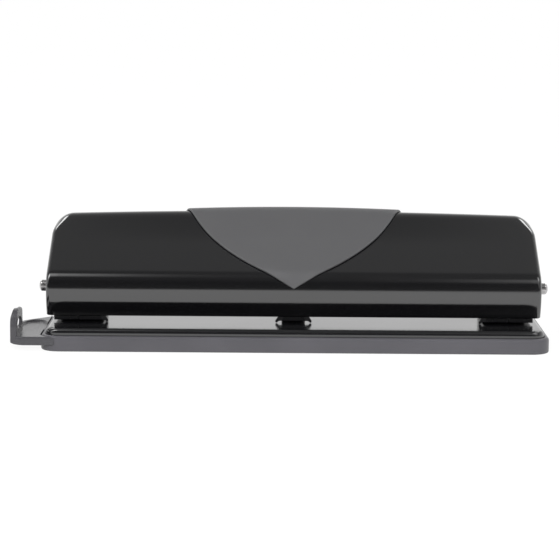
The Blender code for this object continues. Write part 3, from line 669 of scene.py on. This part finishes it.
def chad_tray():
    """The moulded pan: outer foot, outer wall, round rim, chamfer, inner wall and floor, carried
    round the rectangle, with the guide's slot cut through the left end and two straight rails."""
    left, edge, top = left_trim - half_tray, tray_edge_radius, tray_height + tray_lift
    ring = rectangle_ring(left, half_tray, -tray_front, tray_rear, corner_radius)
    profile = ([(edge + 0.0006, 0.0)] + quarter(edge, edge, edge, -90, 0, 7)
               + quarter(tray_rim_radius, top - tray_rim_radius, tray_rim_radius, 0, 90, 9)
               + [(tray_wall - tray_chamfer, top), (tray_wall, top - tray_chamfer),
                  (tray_wall, tray_floor + tray_fillet), (tray_wall + tray_fillet, tray_floor)])
    wall = carried(ring, profile)
    spine = half_tray - tray_rear
    grids = [filled(wall[0], spine)[::-1], wall, filled(wall[-1], spine)]
    obj = skin("moulded_tray", grids, TRAY_PLASTIC)
    near, far = tongue_near - running_gap, tongue_near + tongue_width + running_gap
    slot_top = tray_floor + tongue_thickness + 2 * running_gap
    carved(obj, block((left - 0.002, near, tray_floor),
                      (left + tray_wall + 0.0002, far, slot_top)))
    for low, high in ((near - tray_rib, near), (far, far + tray_rib)):
        merged(obj, block((left + tray_wall / 2, low, tray_floor / 2),
                          (-half_tray + tray_wall / 2 + tongue_length, high,
                           tray_floor + tray_rib_height)))
    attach(obj, "tray")
    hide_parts("chad_tray")


# Paper guide

def corner_inset(y, radius, reach):
    """How far an end lies further in at a depth near the front, where its corner is a quarter
    round: the radius says where the round's centre is, and the reach how far the edge is from
    that centre."""
    turn = -tray_front + radius
    return np.where(y < turn, reach - np.sqrt(np.maximum(reach ** 2 - (turn - y) ** 2, 0.0)), 0.0)


def guide_edge(y):
    """Left edge of the guide's plate at a depth: a quarter round in front, straight, then a
    smooth step in to the tray at the back."""
    start_inset, step_margin, step_stretch = 0.0005, 0.003, 1.18
    step = smooth_share(y, guide_back - guide_shoulder, guide_back + step_margin)
    return (guide_left + start_inset + corner_inset(y, guide_corner_radius, guide_corner_radius)
            + guide_reach * np.minimum(step * step_stretch, 1.0))


def guide_seam(y):
    """Right edge of the guide's plate: the tray's outline a running gap away."""
    return (left_trim - half_tray - running_gap
            + corner_inset(y, corner_radius, corner_radius + running_gap))


def paper_guide():
    """The side stop.

    The plate is ruled across from its free edge to the tray's outline. Its top rolls off near
    every edge by a quarter round, and sinks into a shallow dish where the distance from an oval's
    middle is under 1.
    """
    edge, seam_sharpness, least_width = 0.0007, 4.0, 0.00005
    dish_x, dish_y, dish_depth = -half_tray - 0.0055, -tray_front + 0.037875, 0.0011
    dish_half_width, dish_half_length = 0.0078, 0.0215
    floor, top = guide_plate_top - guide_plate, guide_plate_top - guide_drop
    rows = np.concatenate((-tray_front + edge * (1 - np.cos(arc_angles(0, 90, 7))),
                           np.linspace(-tray_front + edge, guide_back - edge, 110)[1:-1],
                           guide_back - edge * (1 - np.cos(arc_angles(90, 0, 7)))))
    left, right = guide_edge(rows), guide_seam(rows)
    right = np.maximum(right, left + least_width)
    share = np.concatenate((np.linspace(0, 0.12, 10)[:-1], np.linspace(0.12, 0.92, 60),
                            np.linspace(0.92, 1.0, 9)[1:]))
    x = left[:, None] * (1 - share) + right[:, None] * share
    y = np.broadcast_to(rows[:, None], x.shape)
    from_left = (x - left[:, None]) / np.sqrt(1 + np.gradient(left, rows)[:, None] ** 2)
    from_seam = (right[:, None] - x) / np.sqrt(1 + np.gradient(right, rows)[:, None] ** 2)
    near = np.minimum(np.minimum(from_left, y + tray_front),
                      np.minimum(guide_back - y, from_seam * seam_sharpness))
    rolled = roll_off(near, edge)
    oval = np.hypot((x - dish_x) / dish_half_width, (y - dish_y) / dish_half_length)
    dish = dish_depth * (1 - smooth_share(oval, 0.93, 1.0))
    shells = closed_between(np.stack((x, y, top - rolled - dish), axis=-1),
                            np.stack((x, y, floor + rolled), axis=-1))
    obj = skin("slide_guide", shells, GUIDE_PLASTIC)
    merged(obj, upright())
    tongue_low = tray_floor + running_gap
    merged(obj, block((-half_tray - guide_reach / 2, tongue_near, tongue_low),
                      (-half_tray + tongue_length, tongue_near + tongue_width,
                       tongue_low + tongue_thickness)))
    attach(obj, "guide")
    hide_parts("paper_guide")


def ray_to_upright(toward, half, low, high, crowns):
    """How far each direction runs from the window's middle to the upright's outline, a rectangle
    whose two upper corners are round: where a straight ray ends beyond a corner's start, the
    distance to the corner's circle is used. The crowns are the front and back radius."""
    crown = np.where(toward[:, 0] < 0, crowns[0], crowns[1])
    side, up = np.maximum(np.abs(toward), 1e-9).T
    away = np.minimum(half / side, np.where(toward[:, 1] > 0, high, low) / up)
    end = toward * away[:, None]
    round_part = (np.abs(end[:, 0]) > half - crown) & (end[:, 1] > high - crown)
    centre = np.column_stack((np.sign(toward[:, 0]) * (half - crown), high - crown))
    along = (toward * centre).sum(axis=1)
    circle = along + np.sqrt(np.maximum(along ** 2 - (centre ** 2).sum(axis=1) + crown ** 2, 0.0))
    return np.where(round_part, circle, away)


def upright():
    """The guide's upright, as a mesh: rays from the window's middle run from an oval window to a
    round-cornered outline. The inner face is flat. The outer face lies further out along the
    front edge, steps in behind that flange, and leans in evenly toward the top. Heights above
    the window's middle are raised by a parabola over the depth, which arches the top. The
    outline's edges are quarter rounds."""
    half, edge, crowns = 0.01425, 0.0004, (0.0070, 0.0024)
    rise, front_run, rear_run = 0.0019, 0.011, 0.0142
    flange_x, flange_step, least_wall = guide_left + 0.0010, 0.0020, 0.0010
    lean_start, lean_run, lean_depth = 0.017, 0.005, 0.0012
    window_half_width, window_half_height = 0.0092, guide_window_height / 2 - 0.0006
    front = -tray_front + guide_corner_radius / 4
    bottom = guide_plate_top - guide_plate + 0.0008
    crest = guide_plate_top + guide_wall_height - 0.0021
    middle, inner_x, peak = 0.0126, guide_left + guide_wall + 0.0002, front + front_run
    turn = np.linspace(0, 2 * math.pi, 193)
    toward = np.column_stack((np.cos(turn), np.sin(turn)))

    def outline(inset):
        reach = ray_to_upright(toward, half - inset, middle - bottom - inset,
                               crest - middle - inset, [crown - inset for crown in crowns])
        return toward * reach[:, None]

    whole = np.linalg.norm(outline(0.0), axis=1)
    in_front = smooth_share(-toward[:, 0], 0.3, 0.6)

    def placed(flat, inward, away):
        """Flat places stood up on the inner or the outer face, and moved into the wall."""
        y, z = front + half + flat[..., 0], middle + flat[..., 1]
        off_peak = (y - peak) / np.where(y > peak, rear_run, front_run)
        z = z + rise * (1 - off_peak ** 2) * np.clip(flat[..., 1] / (crest - middle), 0, 1)
        if inward:
            return np.stack((np.full_like(y, inner_x - away), y, z), axis=-1)
        step = smooth_share(whole - np.linalg.norm(flat, axis=-1), 0.0008, 0.0014)
        lean = lean_depth * np.clip((z - lean_start) / lean_run, 0.0, 1.0)
        x = flange_x + flange_step * (1 - in_front * (1 - step)) + lean
        return np.stack((np.minimum(x, inner_x - least_wall) + away, y, z), axis=-1)

    window = toward * np.array((window_half_width, window_half_height))
    flat = across(np.linspace(0, 1, 25), window, outline(edge))
    inner_face, outer_face = placed(flat, True, 0.0), placed(flat, False, 0.0)
    rounds = [(True, angle) for angle in arc_angles(0, 90, 5)]
    rounds += [(False, angle) for _, angle in rounds[::-1]]
    rim = np.stack([placed(outline(edge * (1 - math.sin(angle))), inward,
                           edge * (1 - math.cos(angle))) for inward, angle in rounds])
    obj = skin("upright", [outer_face, inner_face[::-1],
                           np.stack((inner_face[0], outer_face[0])), rim], GUIDE_PLASTIC)
    mesh = obj.data
    bpy.data.objects.remove(obj, do_unlink=True)
    return mesh


# Punch heads

def entry_tabs():
    """Small folded tabs that lead the paper in, one on each free side of a punch frame: a flat
    hook on a short neck, its outline moved through the sheet's thickness."""
    hook = np.array(((-0.0004, 0.0038), (0.0012, 0.0040), (0.0021, 0.0033), (0.0034, 0.0013),
                     (0.0033, 0.0003), (0.0025, 0.0002), (0.0016, 0.0011), (-0.0004, 0.0012)))
    near, far, count = -0.0277, -0.0265, len(hook)
    vertices, faces = [], []
    for name, sides in (("left", (1,)), ("centre", (-1, 1)), ("right", (-1,))):
        middle = head_places[head_names.index(name)]
        for side in sides:
            start = len(vertices)
            x = middle + side * (frame_width / 2 + hook[:, 0])
            z = base_top + base_lift + hook[:, 1]
            vertices += [(a, y, b) for y in (near, far) for a, b in zip(x, z)]
            ring = range(start, start + count)
            back = range(start + count, start + 2 * count)
            faces += [tuple(ring), tuple(back[::-1])]
            faces += [(ring[k - 1], ring[k], back[k], back[k - 1]) for k in range(count)]
    mesh = bpy.data.meshes.new("entry_tabs")
    mesh.from_pydata(vertices, [], faces)
    bm = bmesh.new()
    bm.from_mesh(mesh)
    bmesh.ops.recalc_face_normals(bm, faces=bm.faces)
    bm.to_mesh(mesh)
    bm.free()
    mesh.materials.append(FRAME_COATING)
    obj = linked("entry_tabs", mesh)
    eased(obj, 40.0)
    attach(obj, "base")


def front_lips():
    """The folded front edge of each stirrup, close over the base plate: a side profile with a
    round lower edge, moved along X."""
    near, far, high = -0.0272, -0.0262, 0.0152
    radius, low, middle_y = (far - near) / 2, base_top + base_lift + 0.0009, (near + far) / 2
    lower_edge = arc_places((middle_y, low + radius), radius, 180, 360, 9)
    profile = np.vstack(((near, high), lower_edge, (far, high), (near, high)))
    core = np.column_stack((np.full(len(profile), middle_y), profile[:, 1]))
    grids = []
    for name in ("left_punch_frame", "centre_punch_frame", "right_punch_frame",
                 "left_pivot_bracket", "right_pivot_bracket"):
        corner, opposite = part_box(name)
        start, end = corner.x, opposite.x
        if name.endswith("frame"):
            middle = head_places[head_names.index(name.split("_")[0])]
            start, end = middle - frame_width / 2, middle + frame_width / 2
        rows = [np.column_stack((np.full(len(profile), x), profile))
                for x in np.linspace(start, end, 4)]
        caps = [np.column_stack((np.full(len(core), x), core)) for x in (start, end)]
        grids += [np.stack(rows), np.stack((caps[0], rows[0])), np.stack((rows[-1], caps[1]))]
    obj = skin("front_lips", grids, FRAME_COATING, 40.0)
    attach(obj, "base")


def coil_spring(name):
    """A wire swept along a helix: the height climbs slowly in the closed end turns and evenly
    between them, and both wire ends are ground flat by a cap."""
    corner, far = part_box(f"{name}_spring")
    wire, turns, per_turn, around = 0.00045, 6.5, 56, 12
    closed_lead, foot, travel = 0.14, 0.0263, 0.0065
    radius, x = (far.x - corner.x) / 2 - wire, (far.x + corner.x) / 2
    t = np.linspace(0, 1, int(turns * per_turn) + 1)
    angle = 2 * math.pi * turns * t
    lead = smooth_share(t, 0.08, 0.20) * (1 - smooth_share(t, 0.80, 0.92)) + closed_lead
    climb = np.concatenate(([0.0], np.cumsum((lead[1:] + lead[:-1]) / 2)))
    low, high = corner.z + wire, far.z - wire
    z = low + (high - low) * climb / climb[-1]
    axis = np.column_stack((radius * np.cos(angle), radius * np.sin(angle), z))
    along = np.gradient(axis, axis=0)
    along /= np.linalg.norm(along, axis=1)[:, None]
    out = np.column_stack((np.cos(angle), np.sin(angle), np.zeros(len(t))))
    up = np.cross(along, out)
    bend = np.linspace(0, 2 * math.pi, around + 1)[None, :, None]
    tube = axis[:, None] + wire * (np.cos(bend) * out[:, None] + np.sin(bend) * up[:, None])
    caps = [across((0, 1), np.repeat(axis[k][None], around + 1, axis=0), tube[k])
            for k in (0, -1)]
    place = np.array((x, 0.0, 0.0))
    obj = skin(f"{name}_coil", [grid + place for grid in (tube, *caps)], SPRING_STEEL, 40.0)
    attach(obj, "base")
    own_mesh(obj)
    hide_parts(f"{name}_spring")


# The pieces, and a finish for every node

lever_cover()
grip_panel()
base_plate()
chad_tray()
paper_guide()
entry_tabs()
front_lips()
for head in head_names:
    coil_spring(head)

node_finishes = {
    "lever_cover": BASE_ENAMEL, "base_plate": BASE_ENAMEL, "grip_panel": GRIP_SATIN,
    "chad_tray": TRAY_PLASTIC, "paper_guide": GUIDE_PLASTIC, "pivot_axle": AXLE_STEEL,
    "pressure_bar": BAR_STEEL, "punch_frame": FRAME_COATING, "pivot_bracket": FRAME_COATING,
    "axle_spacer": NYLON, "punch_pin": PIN_STEEL, "": ZINC,
}
for node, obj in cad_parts.items():
    finish = next(made for ending, made in node_finishes.items() if node.endswith(ending))
    obj.data.materials.clear()
    obj.data.materials.append(finish)


# Stage, light and camera

def white_share(tree, share):
    """How far a ray sees the plain white of the photograph: camera, glossy and see-through rays."""
    path = tree.node("ShaderNodeLightPath")
    kinds = ("Is Camera Ray", "Is Glossy Ray", "Is Transmission Ray")
    camera_ray, glossy, through = (Value(tree, path.outputs[kind]) for kind in kinds)
    return (camera_ray + glossy + through).clamped() * share


def floor():
    """A large pale table that takes the object's soft shadow."""
    near, far, side, glow_strength, glow_share = -4, 30, 12, 1.04, 0.90
    mesh = bpy.data.meshes.new("table")
    mesh.from_pydata([(-side, near, 0), (side, near, 0), (side, far, 0), (-side, far, 0)], [],
                     [(0, 1, 2, 3)])
    made = Finish("table_paper", (0.86, 0.86, 0.86), 0.7)
    glow = made.node("ShaderNodeEmission", None, (1.0, 1.0, 1.0, 1.0), glow_strength)
    blend = made.node("ShaderNodeMixShader", None, white_share(made, glow_share),
                      made.shader.outputs[0], glow.outputs[0])
    made.tree.links.new(blend.outputs[0], made.tree.nodes["Material Output"].inputs["Surface"])
    mesh.materials.append(made.material)
    linked("table", mesh)


def band(value, rise, fall):
    """1 between two smooth edges and 0 outside them."""
    return value.share(*rise) * (1.0 - value.share(*fall))


def studio_world():
    """A room, by the direction looked in: a white backdrop behind the table that darkens upward,
    dark ahead, patches of light above the camera and toward both sides, and one at each rear
    corner. Camera rays see plain white."""
    world = bpy.data.worlds.new("studio")
    bpy.context.scene.world = world
    room = Tree(world)
    room.tree.nodes.clear()
    place = room.node("ShaderNodeTexCoord").outputs["Generated"]
    parts = room.node("ShaderNodeSeparateXYZ", None, place)
    x, y, z = (Value(room, parts.outputs[letter]) for letter in "XYZ")
    height = z * 0.5 + 0.5
    behind = height.toned([(0.0, 0.9), (0.60, 1.0), (0.70, 0.75), (0.80, 0.42), (0.90, 0.26),
                           (0.95, 0.22), (1.0, 0.12)])
    ahead = height.toned([(0.0, 0.6), (0.5, 0.25), (0.56, 0.08), (0.80, 0.05), (1.0, 0.12)])
    back = (y * 1.2 + 0.5).clamped()
    left, right, front, up = -x, x, -y, z.share(0.1, 0.4)
    broad = band(front, (0.02, 0.16), (0.26, 0.46)) * up
    small = band(front, (0.34, 0.48), (0.58, 0.76)) * up
    side_rise, side_fall = (0.22, 0.38), (0.6, 0.8)
    sides = band(left, side_rise, side_fall) * 4.0 + band(right, side_rise, side_fall) * 3.0
    aside = left + right.share(0.0, 0.001) * right * 2.0
    corners = band(aside, (0.22, 0.27), (0.38, 0.43)) * band(y, (0.58, 0.62), (0.72, 0.76)) * up
    patches = (broad * (left.share(0.055, 0.115) * 1.5 + sides)
               + small * right.share(0.080, 0.112) * 0.6 + corners * 5.0)
    tone = behind * back + ahead * (1.0 - back) + patches + right.share(0.0, 0.3) * 0.05
    lit = room.node("ShaderNodeBackground", None, tone, 1.0)
    white = room.node("ShaderNodeBackground", None, (1.0, 1.0, 1.0, 1.0), 1.0)
    camera_ray = room.node("ShaderNodeLightPath").outputs["Is Camera Ray"]
    blend = room.node("ShaderNodeMixShader", None, camera_ray, lit.outputs[0], white.outputs[0])
    out = room.node("ShaderNodeOutputWorld")
    room.tree.links.new(blend.outputs[0], out.inputs["Surface"])


def softbox(name, place, target, width, depth, power):
    """A rectangular light that shines toward a target and shows in no reflection."""
    light = bpy.data.lights.new(name, "AREA")
    light.shape, light.size, light.size_y, light.energy = "RECTANGLE", width, depth, power
    obj = linked(name, light)
    aim = (Vector(target) - Vector(place)).to_track_quat("-Z", "Y").to_matrix().to_4x4()
    obj.matrix_world = Matrix.Translation(place) @ aim
    obj.visible_glossy = False


def camera():
    """Looks along +Y and 8 degrees down, a little turned about its own axis."""
    place, tilt_degrees, roll_degrees = (-0.0073, -1.2246, 0.2019), 82.05, 0.41
    data = bpy.data.cameras.new("photo_camera")
    data.sensor_width, data.lens = 36.0, 146.7
    data.clip_start, data.clip_end = 0.05, 50.0
    obj = linked("photo_camera", data)
    tilt = Matrix.Rotation(math.radians(tilt_degrees), 4, "X")
    roll = Matrix.Rotation(math.radians(roll_degrees), 4, "Z")
    obj.matrix_world = Matrix.Translation(place) @ tilt @ roll
    bpy.context.scene.camera = obj


floor()
studio_world()
softbox("front_fill", (0.0, -1.3, 0.7), (0.0, 0.0, 0.02), 1.4, 0.6, 22.0)
camera()
bpy.context.scene.view_settings.view_transform = "Standard"
